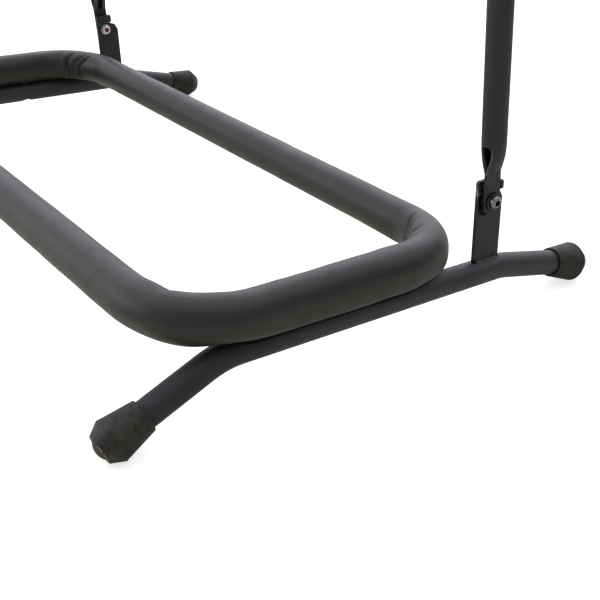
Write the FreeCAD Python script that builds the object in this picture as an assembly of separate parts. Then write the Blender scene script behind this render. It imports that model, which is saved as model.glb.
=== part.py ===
import FreeCAD, Part
import math
import os

V = FreeCAD.Vector

# ---------------------------------------------------------------------------
# Multi guitar stand.  Millimetres.  +X along the stand, -Y is the front where
# the guitars go in, +Z up.  Origin on the floor, under the middle of the stand.
# ---------------------------------------------------------------------------

# base loop: two padded bars joined by rounded ends, sloping down to the rear
X_END = 347.0          # axis of each end run, from the middle
LOOP_SPAN = 262.5      # front bar axis to rear bar axis, in the loop's plane
LOOP_R = 62.7          # bend radius of the corners, on the axis
LOOP_TILT = 2.39       # degrees, rear bar lower than the front bar
Y_FRONT = -178.979     # front bar axis
Z_FRONT = 82.05        # front bar axis above the floor
TUBE_R = 11.0          # 22 mm tube
WALL = 1.2
FOAM_R = 18.0          # 36 mm over the foam
FOAM_BORE = 11.1
FOAM_JOINT = 0.2       # gap where the two sleeves meet in the middle

# foot tubes, given in the plane of the loop
FOOT_IN = 3.9          # foot tube axis inboard of the end run's axis
FOOT_DROP = 29.0       # foot tube axis below the loop's plane
FOOT_BEND_FRONT = 39.1
FOOT_BEND_REAR = 318.2
FOOT_SLOPE_FRONT = 24.30
FOOT_SLOPE_REAR = 11.84
FOOT_LEG_FRONT = 96.2  # bend point to the widest ring of the cap
FOOT_LEG_REAR = 96.0
FOOT_BEND_R = 70.0

# rubber caps
CAP_BACK_R = 12.9
CAP_BIG_R = 17.35
CAP_END_R = 11.3
CAP_BACK = 28.0        # skirt behind the widest ring
CAP_NOSE = 10.4        # chamfered nose in front of it
CAP_DOME_R = 8.3
CAP_DOME_H = 3.0
CAP_BORE = 11.05
CAP_MOUTH = 1.0        # lead-in of the mouth, and how deep it goes
CAP_MOUTH_DEEP = 2.2

# pivot
PIVOT_Y = 291.06       # in the plane of the loop
PIVOT_Z = 37.81
UPRIGHT_LEAN = 4.0     # degrees forward of vertical
BRACKET_LEAN = 4.0     # degrees forward of the loop's normal
PLATE_T = 3.2
PLATE_FRONT = 10.4     # front edge ahead of the pivot
PLATE_REAR = 17.6      # rear edge behind it
PLATE_TOP = 17.0       # above the pivot
TAB_T = 2.5
TAB_HALF = 8.0
TAB_END_R = 11.0
FRICTION_T = 3.6
FACE_GAP = 0.05
BOLT_R = 3.0
PIVOT_HOLE_R = 3.07

# lower end of the upright: pressed flat and trimmed at both sides, then round
FLAT_TO = 28.0
SHOULDER = 51.5
ROUND_FROM = 55.0
TRIM_TOP = 50.3        # top of the arched trim

# upper frame, one size down from the base's tube
FRAME_R = 10.0
UPRIGHT_LEN = 535.0    # pivot to neck bar axis
FRAME_BEND_R = 62.7

# neck dividers
DIVIDERS = 6
PITCH = 106.0
ROD_R = 5.0
ROD_RISE = 18.0        # degrees above horizontal
ROD_REACH = 112.0      # neck bar axis to the end of the tip
SLEEVE_R = 12.0
TIP_LEN = 17.0
BAR_FOAM_END = 279.0   # outer end of the neck bar's foam

os.makedirs("parts", exist_ok=True)

PLATE_X = X_END - FOOT_IN
TAB_X = PLATE_X + PLATE_T / 2 + FRICTION_T + 2 * FACE_GAP + TAB_T / 2

BASE = FreeCAD.Placement(V(0, Y_FRONT, Z_FRONT),
                         FreeCAD.Rotation(V(1, 0, 0), -LOOP_TILT))


def to_stand(shape):
    """From the loop's plane to the stand's frame."""
    s = shape.copy()
    s.Placement = BASE.multiply(s.Placement)
    return s


def mirrored(shape):
    return shape.mirror(V(0, 0, 0), V(1, 0, 0))


def disc(p, d, r_out, r_in=0.0):
    outer = Part.Wire(Part.makeCircle(r_out, p, d))
    if r_in <= 0:
        return Part.Face(outer)
    inner = Part.Wire(Part.makeCircle(r_in, p, d))
    return Part.makeFace([outer, inner], "Part::FaceMakerBullseye")


def rod(p, d, r, length, r_in=0.0):
    d = V(d)
    d.normalize()
    s = Part.makeCylinder(r, length, p, d)
    if r_in > 0:
        s = s.cut(Part.makeCylinder(r_in, length + 2, p - d, d))
    return s


def ball(a, b):
    """Arc from a to b in the xz plane, centred on the z axis, so that it turns into a sphere."""
    c = (b.x ** 2 + b.z ** 2 - a.x ** 2 - a.z ** 2) / (2 * (b.z - a.z))
    r = math.hypot(a.x, a.z - c)
    m = V((a.x + b.x) / 2, 0, (a.z + b.z) / 2 - c)
    m.normalize()
    return Part.Arc(a, m * r + V(0, 0, c), b).toShape()


def rounded(points, radii):
    """Straight runs joined by tangent arcs."""
    out = []
    here = points[0]
    for i in range(1, len(points) - 1):
        a = points[i - 1] - points[i]
        b = points[i + 1] - points[i]
        a.normalize()
        b.normalize()
        turn = math.pi - a.getAngle(b)
        t = radii[i - 1] * math.tan(turn / 2)
        start = points[i] + a * t
        stop = points[i] + b * t
        axis = a.cross(b) * -1
        axis.normalize()
        bis = a + b
        bis.normalize()
        centre = points[i] + bis * (radii[i - 1] / math.cos(turn / 2))
        out.append(("line", here, start))
        out.append(("arc", start, stop, centre, axis, math.degrees(turn)))
        here = stop
    out.append(("line", here, points[-1]))
    return out


def sweep(path, r_out, r_in=0.0):
    """Round bar or tube along straight runs and arcs."""
    solids = []
    for seg in path:
        if seg[0] == "line":
            d = seg[2] - seg[1]
            solids.append(disc(seg[1], d, r_out, r_in).extrude(d))
        else:
            p, centre, axis = seg[1], seg[3], seg[4]
            d = axis.cross(p - centre)
            solids.append(disc(p, d, r_out, r_in).revolve(centre, axis, seg[5]))
    s = solids[0]
    if len(solids) > 1:
        s = s.multiFuse(solids[1:]).removeSplitter()
    return s.Solids[0]


def path_length(path):
    n = 0.0
    for seg in path:
        if seg[0] == "line":
            n += (seg[2] - seg[1]).Length
        else:
            n += math.radians(seg[5]) * (seg[1] - seg[3]).Length
    return n


def save(name, shape):
    solids = shape.Solids
    ok = shape.isValid() and len(solids) > 0
    b = shape.optimalBoundingBox()
    print("%-26s solids %d valid %s vol %.0f  x %.1f..%.1f y %.1f..%.1f z %.1f..%.1f"
          % (name, len(solids), ok, shape.Volume, b.XMin, b.XMax, b.YMin, b.YMax, b.ZMin, b.ZMax))
    if not ok:
        raise SystemExit("bad solid: " + name)
    if len(solids) == 1:
        shape = solids[0]
    shape.exportStep("parts/" + name + ".step")
    box.add(b)


def save_group(name, shapes):
    save(name, Part.makeCompound([s.Solids[0] for s in shapes]))


def pair(shape):
    return [shape, mirrored(shape)]


def save_pair(name, shape):
    """+X piece and its mirror image."""
    save(name + "_right", shape)
    save(name + "_left", mirrored(shape))


box = FreeCAD.BoundBox()

# ---------------------------------------------------------------------------
# Foot tube (in the loop's plane), its bolt holes and its caps
# ---------------------------------------------------------------------------
sf = math.radians(FOOT_SLOPE_FRONT)
sr = math.radians(FOOT_SLOPE_REAR)
bend_front = V(PLATE_X, FOOT_BEND_FRONT, -FOOT_DROP)
bend_rear = V(PLATE_X, FOOT_BEND_REAR, -FOOT_DROP)
dir_front = V(0, -math.cos(sf), -math.sin(sf))
dir_rear = V(0, math.cos(sr), -math.sin(sr))
TUBE_SHY = 2.0         # tube ends this far behind the cap's widest ring
foot_path = rounded([bend_front + dir_front * (FOOT_LEG_FRONT - TUBE_SHY), bend_front, bend_rear,
                     bend_rear + dir_rear * (FOOT_LEG_REAR - TUBE_SHY)],
                    [FOOT_BEND_R, FOOT_BEND_R])
foot = sweep(foot_path, TUBE_R, TUBE_R - WALL)
foot_envelope = sweep(foot_path, TUBE_R + 0.02)

# two fixings between foot tube and loop, along the line that joins the axes
FIX_Y = (92.0, 176.0)
HEAD_SEAT = 6.4        # flat side of the saddle washer, above the foot tube's axis
SPACER_R = 4.6
fix_dir = V(FOOT_IN, 0, FOOT_DROP)
fix_gap = fix_dir.Length
fix_dir.normalize()
bolts, saddles, spacers, rivet_nuts = [], [], [], []
for y in FIX_Y:
    o = V(PLATE_X, y, -FOOT_DROP)
    axis_y = V(0, 1, 0)
    foot_cyl = rod(o - axis_y * 40, axis_y, TUBE_R + 0.02, 80)
    loop_o = o + fix_dir * fix_gap
    loop_cyl = rod(loop_o - axis_y * 40, axis_y, TUBE_R + 0.02, 80)
    # the screw goes in through a wide hole below, and its head bears on the upper wall from inside
    foot = foot.cut(rod(o, fix_dir, 3.3, 14)).cut(rod(o - fix_dir * 14, fix_dir, 6.7, 14))
    inside = rod(o - axis_y * 40, axis_y, TUBE_R - WALL - 0.02, 80)
    saddles.append(rod(o + fix_dir * HEAD_SEAT, fix_dir, 6.0, 6.0, 3.3).common(inside))
    flange_at = fix_gap - TUBE_R - 1.2
    spacers.append(rod(o + fix_dir * 8, fix_dir, SPACER_R, flange_at - 8 - 0.02, 3.3).cut(foot_cyl))
    flange = rod(o + fix_dir * flange_at, fix_dir, 6.0, 4.0).cut(loop_cyl)
    body = rod(o + fix_dir * flange_at, fix_dir, 4.4, 12.0)
    collar = rod(o + fix_dir * (fix_gap - 8.3), fix_dir, 5.0, 2.8)
    nut = flange.fuse(body).fuse(collar).removeSplitter()
    rivet_nuts.append(nut.cut(rod(o + fix_dir * (flange_at - 1), fix_dir, BOLT_R + 0.02, 20)))
    head_at = o + fix_dir * (HEAD_SEAT - 0.02)
    shank = rod(head_at, fix_dir, BOLT_R, flange_at + 11.0 - HEAD_SEAT)
    # button head, hex socket
    prof = [V(0, 0, 0), V(5.25, 0, 0), V(5.25, 0, 0.5)]
    dome = Part.Wire([Part.makeLine(prof[0], prof[1]), Part.makeLine(prof[1], prof[2]),
                      ball(prof[2], V(2.6, 0, 3.3)),
                      Part.makeLine(V(2.6, 0, 3.3), V(0, 0, 3.3)), Part.makeLine(V(0, 0, 3.3), prof[0])])
    head = Part.Face(dome).revolve(V(0, 0, 0), V(0, 0, 1), 360)
    hexagon = Part.makePolygon([V(2.31 * math.cos(k * math.pi / 3), 2.31 * math.sin(k * math.pi / 3), 1.2)
                                for k in range(7)])
    head = head.cut(Part.Face(hexagon).extrude(V(0, 0, 4)))
    head.Placement = FreeCAD.Placement(head_at, FreeCAD.Rotation(V(0, 0, 1), fix_dir * -1))
    bolts.append(head.fuse(shank).removeSplitter())

save_pair("foot_tube", to_stand(foot))
save_group("loop_bolts", [q for s in bolts for q in pair(to_stand(s))])
save_group("loop_saddle_washers", [q for s in saddles for q in pair(to_stand(s))])
save_group("loop_spacers", [q for s in spacers for q in pair(to_stand(s))])
save_group("loop_rivet_nuts", [q for s in rivet_nuts for q in pair(to_stand(s))])


def cap(ring, d):
    """Tapered rubber cap, revolved on the leg's axis; +s points out of the leg."""
    w = Part.Wire([
        Part.makeLine(V(CAP_BORE + CAP_MOUTH, 0, -CAP_BACK), V(CAP_BACK_R - 0.7, 0, -CAP_BACK)),
        Part.Arc(V(CAP_BACK_R - 0.7, 0, -CAP_BACK), V(CAP_BACK_R - 0.15, 0, -CAP_BACK + 0.25),
                 V(CAP_BACK_R + 0.1, 0, -CAP_BACK + 0.8)).toShape(),
        Part.makeLine(V(CAP_BACK_R + 0.1, 0, -CAP_BACK + 0.8), V(CAP_BIG_R - 0.25, 0, -1.0)),
        Part.Arc(V(CAP_BIG_R - 0.25, 0, -1.0), V(CAP_BIG_R, 0, 0), V(CAP_BIG_R - 0.45, 0, 0.9)).toShape(),
        Part.makeLine(V(CAP_BIG_R - 0.45, 0, 0.9), V(CAP_END_R + 0.4, 0, CAP_NOSE - 0.5)),
        Part.Arc(V(CAP_END_R + 0.4, 0, CAP_NOSE - 0.5), V(CAP_END_R + 0.05, 0, CAP_NOSE - 0.1),
                 V(CAP_END_R - 0.4, 0, CAP_NOSE)).toShape(),
        Part.makeLine(V(CAP_END_R - 0.4, 0, CAP_NOSE), V(CAP_DOME_R, 0, CAP_NOSE)),
        ball(V(CAP_DOME_R, 0, CAP_NOSE), V(0, 0, CAP_NOSE + CAP_DOME_H)),
        Part.makeLine(V(0, 0, CAP_NOSE + CAP_DOME_H), V(0, 0, -TUBE_SHY + 0.1)),
        Part.makeLine(V(0, 0, -TUBE_SHY + 0.1), V(CAP_BORE, 0, -TUBE_SHY + 0.1)),
        Part.makeLine(V(CAP_BORE, 0, -TUBE_SHY + 0.1), V(CAP_BORE, 0, -CAP_BACK + CAP_MOUTH_DEEP)),
        Part.makeLine(V(CAP_BORE, 0, -CAP_BACK + CAP_MOUTH_DEEP), V(CAP_BORE + CAP_MOUTH, 0, -CAP_BACK)),
    ])
    s = Part.Face(w).revolve(V(0, 0, 0), V(0, 0, 1), 360)
    s = s.Solids[0] if s.Solids else Part.Solid(s)
    s.Placement = FreeCAD.Placement(ring, FreeCAD.Rotation(V(0, 0, 1), d))
    return s


FLOOR = Part.makeBox(1200, 1200, 50, V(-600, -600, -50))
for label, bend, d, leg in (("front", bend_front, dir_front, FOOT_LEG_FRONT),
                            ("rear", bend_rear, dir_rear, FOOT_LEG_REAR)):
    c = to_stand(cap(bend + d * leg, d)).cut(FLOOR)      # worn flat where it stands
    save("foot_cap_" + label + "_right", c)
    save("foot_cap_" + label + "_left", mirrored(c))

# ---------------------------------------------------------------------------
# Base loop: two U halves, spigots, rivets, foam
# ---------------------------------------------------------------------------
loop_path = rounded([V(0, 0, 0), V(X_END, 0, 0), V(X_END, LOOP_SPAN, 0), V(0, LOOP_SPAN, 0)], [LOOP_R, LOOP_R])
loop = sweep(loop_path, TUBE_R, TUBE_R - WALL)
foam_path = rounded([V(FOAM_JOINT / 2, 0, 0), V(X_END, 0, 0), V(X_END, LOOP_SPAN, 0),
                     V(FOAM_JOINT / 2, LOOP_SPAN, 0)], [LOOP_R, LOOP_R])
foam = sweep(foam_path, FOAM_R, FOAM_BORE)
print("loop length %.1f" % path_length(loop_path))

for y in FIX_Y:
    o = V(PLATE_X, y, -FOOT_DROP)
    loop = loop.cut(rod(o + fix_dir * (fix_gap - 13), fix_dir, 4.45, 8))
    foam = foam.cut(rod(o, fix_dir, SPACER_R + 0.3, fix_gap)).cut(rod(o + fix_dir * (fix_gap - TUBE_R - 1.6), fix_dir, 6.4, 8))

SPIGOT_R = TUBE_R - WALL - 0.05
SPIGOT_BORE = 8.3
RIVET_X = 30.0
spigots, rivets = [], []
for y in (0.0, LOOP_SPAN):
    sp = rod(V(-50, y, 0), V(1, 0, 0), SPIGOT_R, 100, SPIGOT_BORE)
    for sx in (-1, 1):
        at = V(sx * RIVET_X, y, 0)
        down = V(0, 0, -1)
        sp = sp.cut(rod(at, down, 2.05, 14))
        bar = rod(at - V(50, 0, 0), V(1, 0, 0), TUBE_R + 0.02, 100)
        head = rod(at + down * 9.0, down, 4.0, 3.4).cut(bar)
        bulb = rod(at + down * 5.4, down, 2.7, 2.3)
        rivets.append(head.fuse(rod(at + down * 5.4, down, 2.0, 6.5)).fuse(bulb).removeSplitter())
    spigots.append(sp)
    loop = loop.cut(rod(V(RIVET_X, y, 0), V(0, 0, -1), 2.05, 14))
    foam = foam.cut(rod(V(RIVET_X, y, 0), V(0, 0, -1), 4.5, 12.9))

save_pair("loop_tube", to_stand(loop))
save_group("loop_spigots", [to_stand(s) for s in spigots])
save_group("loop_spigot_rivets", [to_stand(s) for s in rivets])
save_pair("loop_foam", to_stand(foam))

# ---------------------------------------------------------------------------
# Pivot bracket: flat plate on the foot tube, with a bent stop lug
# ---------------------------------------------------------------------------
pivot = V(0, PIVOT_Y, PIVOT_Z)
LUG_FRONT = TAB_HALF - 0.05          # front face of the lug, rear of the pivot
LUG_LOW, LUG_HIGH = 8.0, 15.8
LUG_OUT = 6.6                        # past the plate's outer face
LUG_IN_R = 1.0


def plate_face(points):
    return Part.Face(Part.makePolygon(points + [points[0]]))


# outline in (across, up) from the pivot; plate lies between x = -t/2 and t/2
root = LUG_FRONT - LUG_IN_R
f, h = PLATE_FRONT, PLATE_REAR
low = -(PIVOT_Z + FOOT_DROP)
outline = [(-f, low), (-f, PLATE_TOP), (root - 1.2, PLATE_TOP), (root - 1.2, LUG_HIGH + 0.6), (root, LUG_HIGH),
           (root, LUG_LOW), (root + 0.2, LUG_LOW - 0.7), (14.1, 4.4), (h, -2.1), (h, low)]
plate = plate_face([V(-PLATE_T / 2, r, a) for r, a in outline]).extrude(V(PLATE_T, 0, 0))


def upright_edges(shape, r, a, tol=0.05):
    return [e for e in shape.Edges
            if abs(e.BoundBox.YLength) < tol and abs(e.BoundBox.ZLength) < tol
            and abs(e.CenterOfMass.y - r) < tol and abs(e.CenterOfMass.z - a) < tol]


plate = plate.makeFillet(2.3, upright_edges(plate, -f, PLATE_TOP))
plate = plate.makeFillet(0.5, upright_edges(plate, root - 1.2, PLATE_TOP))
plate = plate.makeFillet(1.5, upright_edges(plate, h, -2.1))
# lug: L-shaped bend, drawn in (x, across) and raised over its height
t = PLATE_T
cx, cr = t / 2 + LUG_IN_R, root
q = math.sqrt(0.5)
lug = Part.Wire([
    Part.makeLine(V(-t / 2, cr - 1, LUG_LOW), V(-t / 2, cr, LUG_LOW)),
    Part.Arc(V(-t / 2, cr, LUG_LOW), V(cx - (t + LUG_IN_R) * q, cr + (t + LUG_IN_R) * q, LUG_LOW),
             V(cx, cr + t + LUG_IN_R, LUG_LOW)).toShape(),
    Part.makeLine(V(cx, cr + t + LUG_IN_R, LUG_LOW), V(t / 2 + LUG_OUT, cr + t + LUG_IN_R, LUG_LOW)),
    Part.makeLine(V(t / 2 + LUG_OUT, cr + t + LUG_IN_R, LUG_LOW), V(t / 2 + LUG_OUT, cr + LUG_IN_R, LUG_LOW)),
    Part.makeLine(V(t / 2 + LUG_OUT, cr + LUG_IN_R, LUG_LOW), V(cx, cr + LUG_IN_R, LUG_LOW)),
    Part.Arc(V(cx, cr + LUG_IN_R, LUG_LOW), V(cx - LUG_IN_R * q, cr + LUG_IN_R * q, LUG_LOW),
             V(t / 2, cr, LUG_LOW)).toShape(),
    Part.makeLine(V(t / 2, cr, LUG_LOW), V(t / 2, cr - 1, LUG_LOW)),
    Part.makeLine(V(t / 2, cr - 1, LUG_LOW), V(-t / 2, cr - 1, LUG_LOW)),
])
lug = Part.Face(lug).extrude(V(0, 0, LUG_HIGH - LUG_LOW))
end_edges = [e for e in lug.Edges if abs(e.CenterOfMass.x - (t / 2 + LUG_OUT)) < 0.01
             and e.BoundBox.YLength > 1 and e.BoundBox.ZLength < 0.01]
lug = lug.makeFillet(1.6, end_edges)
bracket = plate.fuse(lug).removeSplitter()
bracket = bracket.cut(rod(V(-10, 0, 0), V(1, 0, 0), PIVOT_HOLE_R, 20))
bracket.Placement = FreeCAD.Placement(V(PLATE_X, PIVOT_Y, PIVOT_Z),
                                      FreeCAD.Rotation(V(1, 0, 0), BRACKET_LEAN))
bracket = bracket.cut(foot_envelope)
bracket = max(bracket.Solids, key=lambda s: s.BoundBox.ZMax)
save_pair("pivot_bracket", to_stand(bracket))

# ---------------------------------------------------------------------------
# Pivot hardware, all on the pivot's axis
# ---------------------------------------------------------------------------
P = BASE.multVec(pivot)
PY, PZ = P.y, P.z
print("pivot y %.3f z %.3f  tab plane x %.3f" % (PY, PZ, TAB_X))
OUT = V(1, 0, 0)


def at_x(x):
    return V(x, PY, PZ)


x_plate_out = PLATE_X + PLATE_T / 2
x_plate_in = PLATE_X - PLATE_T / 2
x_tab_out = TAB_X + TAB_T / 2
HEAD_WASHER_T = 1.55
BACK_WASHER_T = 1.0
COLLAR_T = 0.8
NUT_T = 3.8             # low lock nut, collar and all

friction = rod(at_x(x_plate_out + FACE_GAP), OUT, 8.0, FRICTION_T - FACE_GAP, 3.2)
head_washer = rod(at_x(x_tab_out + FACE_GAP), OUT, 7.1, HEAD_WASHER_T, 3.2)
back_washer = rod(at_x(x_plate_in - BACK_WASHER_T), OUT, 6.0, BACK_WASHER_T, 3.2)

x_head = x_tab_out + FACE_GAP + HEAD_WASHER_T
x_nut = x_plate_in - BACK_WASHER_T - NUT_T
dome = Part.Wire([Part.makeLine(V(0, 0, 0), V(5.3, 0, 0)), Part.makeLine(V(5.3, 0, 0), V(5.3, 0, 2.2)),
                  ball(V(5.3, 0, 2.2), V(3.4, 0, 4.2)),
                  Part.makeLine(V(3.4, 0, 4.2), V(0, 0, 4.2)), Part.makeLine(V(0, 0, 4.2), V(0, 0, 0))])
head = Part.Face(dome).revolve(V(0, 0, 0), V(0, 0, 1), 360)
hexagon = Part.makePolygon([V(2.89 * math.cos(k * math.pi / 3), 2.89 * math.sin(k * math.pi / 3), 1.6)
                            for k in range(7)])
head = head.cut(Part.Face(hexagon).extrude(V(0, 0, 4)))
head.Placement = FreeCAD.Placement(at_x(x_head), FreeCAD.Rotation(V(0, 0, 1), OUT))
shank = rod(at_x(x_nut - 1.2), OUT, BOLT_R, x_head - x_nut + 1.2)
shank = shank.makeChamfer(0.6, [e for e in shank.Edges if abs(e.CenterOfMass.x - (x_nut - 1.2)) < 0.01])
pivot_bolt = head.fuse(shank).removeSplitter()

HEX_T = NUT_T - COLLAR_T
hexnut = Part.Face(Part.makePolygon([V(0, 5.77 * math.cos(k * math.pi / 3), 5.77 * math.sin(k * math.pi / 3))
                                     for k in range(7)])).extrude(V(HEX_T, 0, 0))
hexnut = hexnut.common(Part.Face(Part.makePolygon([V(0, 0, 0), V(0, 5.2, 0), V(0.6, 5.9, 0), V(HEX_T - 0.6, 5.9, 0),
                                                   V(HEX_T, 5.2, 0), V(HEX_T, 0, 0), V(0, 0, 0)])
                                 ).revolve(V(0, 0, 0), V(1, 0, 0), 360))
collar = rod(V(-COLLAR_T, 0, 0), OUT, 4.5, COLLAR_T + 0.1)
collar = collar.makeFillet(0.4, [e for e in collar.Edges if abs(e.CenterOfMass.x + COLLAR_T) < 0.01])
lock_nut = hexnut.fuse(collar).cut(rod(V(-4, 0, 0), OUT, BOLT_R + 0.02, 14)).removeSplitter()
lock_nut.Placement = FreeCAD.Placement(at_x(x_nut + COLLAR_T), FreeCAD.Rotation(V(1, 0, 0), 32))

save_pair("pivot_bolt", pivot_bolt)
save_group("pivot_head_washers", pair(head_washer))
save_group("pivot_friction_washers", pair(friction))
save_group("pivot_back_washers", pair(back_washer))
save_group("pivot_lock_nuts", pair(lock_nut))

# ---------------------------------------------------------------------------
# Upper frame: one tube, both lower ends pressed flat
# ---------------------------------------------------------------------------
lean = math.radians(UPRIGHT_LEAN)
up = V(0, -math.sin(lean), math.cos(lean))
start_r = at_x(TAB_X) + up * ROUND_FROM
corner_r = at_x(TAB_X) + up * UPRIGHT_LEN
corner_l = V(-corner_r.x, corner_r.y, corner_r.z)
start_l = V(-start_r.x, start_r.y, start_r.z)
frame_path = rounded([start_r, corner_r, corner_l, start_l], [FRAME_BEND_R, FRAME_BEND_R])
frame = sweep(frame_path, FRAME_R, FRAME_R - WALL)
print("frame length %.1f" % path_length(frame_path))


# drawn upright: x across the flat's thickness, y to the rear, z up the tube from the pivot
def wedge(points, radii):
    """Prism along y from one side of its outline in (x, z), the other side being its mirror image."""
    path = rounded([V(x, -15, z) for x, z in points], radii)
    edges = []
    for seg in path:
        if seg[0] == "line":
            edges.append(Part.makeLine(seg[1], seg[2]))
        else:
            mid = seg[1] + seg[2] - seg[3] * 2
            mid.normalize()
            edges.append(Part.Arc(seg[1], seg[3] + mid * (seg[1] - seg[3]).Length, seg[2]).toShape())
    far = [e.mirror(V(0, 0, 0), V(1, 0, 0)) for e in edges]
    for p in (path[0][1], path[-1][2]):
        if p.x > 1e-6:
            edges.append(Part.makeLine(p, V(-p.x, p.y, p.z)))
    return Part.Face(Part.Wire(Part.__sortEdges__(edges + far))).extrude(V(0, 30, 0))


OVER = 0.3             # the wedge ends a little outside the round tube
half_t = TAB_T / 2
rise = (FRAME_R + OVER - half_t) / (SHOULDER - FLAT_TO)
skin = WALL * math.sqrt(1 + rise * rise)
end = Part.makeCylinder(FRAME_R, ROUND_FROM + 14, V(0, 0, -14))
end = end.common(wedge([(half_t, -14), (half_t, FLAT_TO), (FRAME_R + OVER, SHOULDER), (FRAME_R + OVER, ROUND_FROM)],
                       [9.0, 12.0]))
# bore, closing to an edge where the two walls meet
z_close = FLAT_TO + (skin - half_t) / rise + 0.6
x_bore = FRAME_R - WALL
bore = wedge([(0, z_close), (x_bore + OVER, z_close + (x_bore + OVER) / rise), (x_bore + OVER, ROUND_FROM + 1)], [6.0])
end = end.cut(bore.common(Part.makeCylinder(x_bore, ROUND_FROM + 2)))
# front and rear sides trimmed to the width of the flat, with an arched top
half_x = math.sqrt(FRAME_R ** 2 - TAB_HALF ** 2) + 0.05
for sy in (-1, 1):
    trim = Part.makeBox(2 * half_x, 6, TRIM_TOP - half_x + 20, V(-half_x, TAB_HALF if sy > 0 else -TAB_HALF - 6, -20))
    arch = rod(V(0, sy * TAB_HALF, TRIM_TOP - half_x), V(0, sy, 0), half_x, 6)
    end = end.cut(trim.fuse(arch).removeSplitter())
# rounded lower end
end = end.cut(Part.makeBox(40, 40, 20, V(-20, -20, -20)).cut(rod(V(-21, 0, 0), V(1, 0, 0), TAB_END_R, 42)))
end = end.cut(rod(V(-10, 0, 0), V(1, 0, 0), PIVOT_HOLE_R, 20))
end.Placement = FreeCAD.Placement(at_x(TAB_X), FreeCAD.Rotation(V(1, 0, 0), UPRIGHT_LEAN))
end = max(end.Solids, key=lambda s: s.Volume)
frame = frame.multiFuse([end, mirrored(end)])
frame = max(frame.Solids, key=lambda s: s.Volume)
save("upper_frame_tube", frame)

# ---------------------------------------------------------------------------
# Neck bar: dividers and foam
# ---------------------------------------------------------------------------
BY, BZ = corner_r.y, corner_r.z
print("neck bar y %.3f z %.3f" % (BY, BZ))
rise = math.radians(ROD_RISE)
fwd = V(0, -math.cos(rise), math.sin(rise))
bar_cyl = rod(V(-400, BY, BZ), V(1, 0, 0), FRAME_R + 0.02, 800)
bar_foam_cyl = rod(V(-400, BY, BZ), V(1, 0, 0), FOAM_R + 0.2, 800)
xs = [PITCH * (k - (DIVIDERS - 1) / 2.0) for k in range(DIVIDERS)]
tip_at = ROD_REACH - TIP_LEN
for k, x in enumerate(xs):
    o = V(x, BY, BZ)
    save("neck_divider_rod_%d" % (k + 1), rod(o + fwd * 6, fwd, ROD_R, ROD_REACH - 6 - 6.0).cut(bar_cyl))
    sleeve = rod(o + fwd * 10, fwd, SLEEVE_R, tip_at - 10 - 0.05, ROD_R + 0.1).cut(bar_foam_cyl)
    save("neck_divider_foam_%d" % (k + 1), max(sleeve.Solids, key=lambda s: s.Volume))
    w = Part.Wire([
        Part.makeLine(V(ROD_R + 0.05, 0, 0), V(SLEEVE_R - 0.2, 0, 0)),
        Part.Arc(V(SLEEVE_R - 0.2, 0, 0), V(SLEEVE_R + 0.3, 0, 0.2), V(SLEEVE_R + 0.5, 0, 0.8)).toShape(),
        Part.makeLine(V(SLEEVE_R + 0.5, 0, 0.8), V(SLEEVE_R + 0.4, 0, 6.0)),
        ball(V(SLEEVE_R + 0.4, 0, 6.0), V(0, 0, TIP_LEN)),
        Part.makeLine(V(0, 0, TIP_LEN), V(0, 0, TIP_LEN - 5.9)),
        Part.makeLine(V(0, 0, TIP_LEN - 5.9), V(ROD_R + 0.05, 0, TIP_LEN - 5.9)),
        Part.makeLine(V(ROD_R + 0.05, 0, TIP_LEN - 5.9), V(ROD_R + 0.05, 0, 0)),
    ])
    tip = Part.Face(w).revolve(V(0, 0, 0), V(0, 0, 1), 360)
    tip.Placement = FreeCAD.Placement(o + fwd * tip_at, FreeCAD.Rotation(V(0, 0, 1), fwd))
    save("neck_divider_tip_%d" % (k + 1), tip)

for k in range(DIVIDERS - 1):
    a = xs[k] + 0.1
    b = xs[k + 1] - 0.1
    if k == 0:
        a = -BAR_FOAM_END
    if k == DIVIDERS - 2:
        b = BAR_FOAM_END
    f = rod(V(a, BY, BZ), V(1, 0, 0), FOAM_R, b - a, FRAME_R + 0.1)
    for x in xs:
        if a - 6 < x < b + 6:
            f = f.cut(rod(V(x, BY, BZ), fwd, ROD_R + 0.3, 40))
    save("neck_bar_foam_%d" % (k + 1), f)

print("whole  x %.2f..%.2f  y %.2f..%.2f  z %.2f..%.2f" % (box.XMin, box.XMax, box.YMin, box.YMax, box.ZMin, box.ZMax))
print("middle y %.3f" % ((box.YMin + box.YMax) / 2))
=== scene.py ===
import math

import bmesh
import bpy
import numpy as np
from mathutils import Matrix, Vector


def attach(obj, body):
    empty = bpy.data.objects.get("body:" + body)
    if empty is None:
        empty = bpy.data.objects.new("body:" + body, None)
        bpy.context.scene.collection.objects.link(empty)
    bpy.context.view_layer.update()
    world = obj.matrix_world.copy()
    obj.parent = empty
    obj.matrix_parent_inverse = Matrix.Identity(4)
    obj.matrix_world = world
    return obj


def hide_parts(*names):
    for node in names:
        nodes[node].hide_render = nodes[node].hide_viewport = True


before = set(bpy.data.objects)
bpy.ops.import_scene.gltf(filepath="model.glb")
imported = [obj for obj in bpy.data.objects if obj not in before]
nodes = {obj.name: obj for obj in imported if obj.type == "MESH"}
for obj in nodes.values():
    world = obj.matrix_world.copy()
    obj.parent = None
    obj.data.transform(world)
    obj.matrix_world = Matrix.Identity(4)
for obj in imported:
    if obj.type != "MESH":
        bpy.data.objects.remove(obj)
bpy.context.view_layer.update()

MM = 0.001

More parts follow.
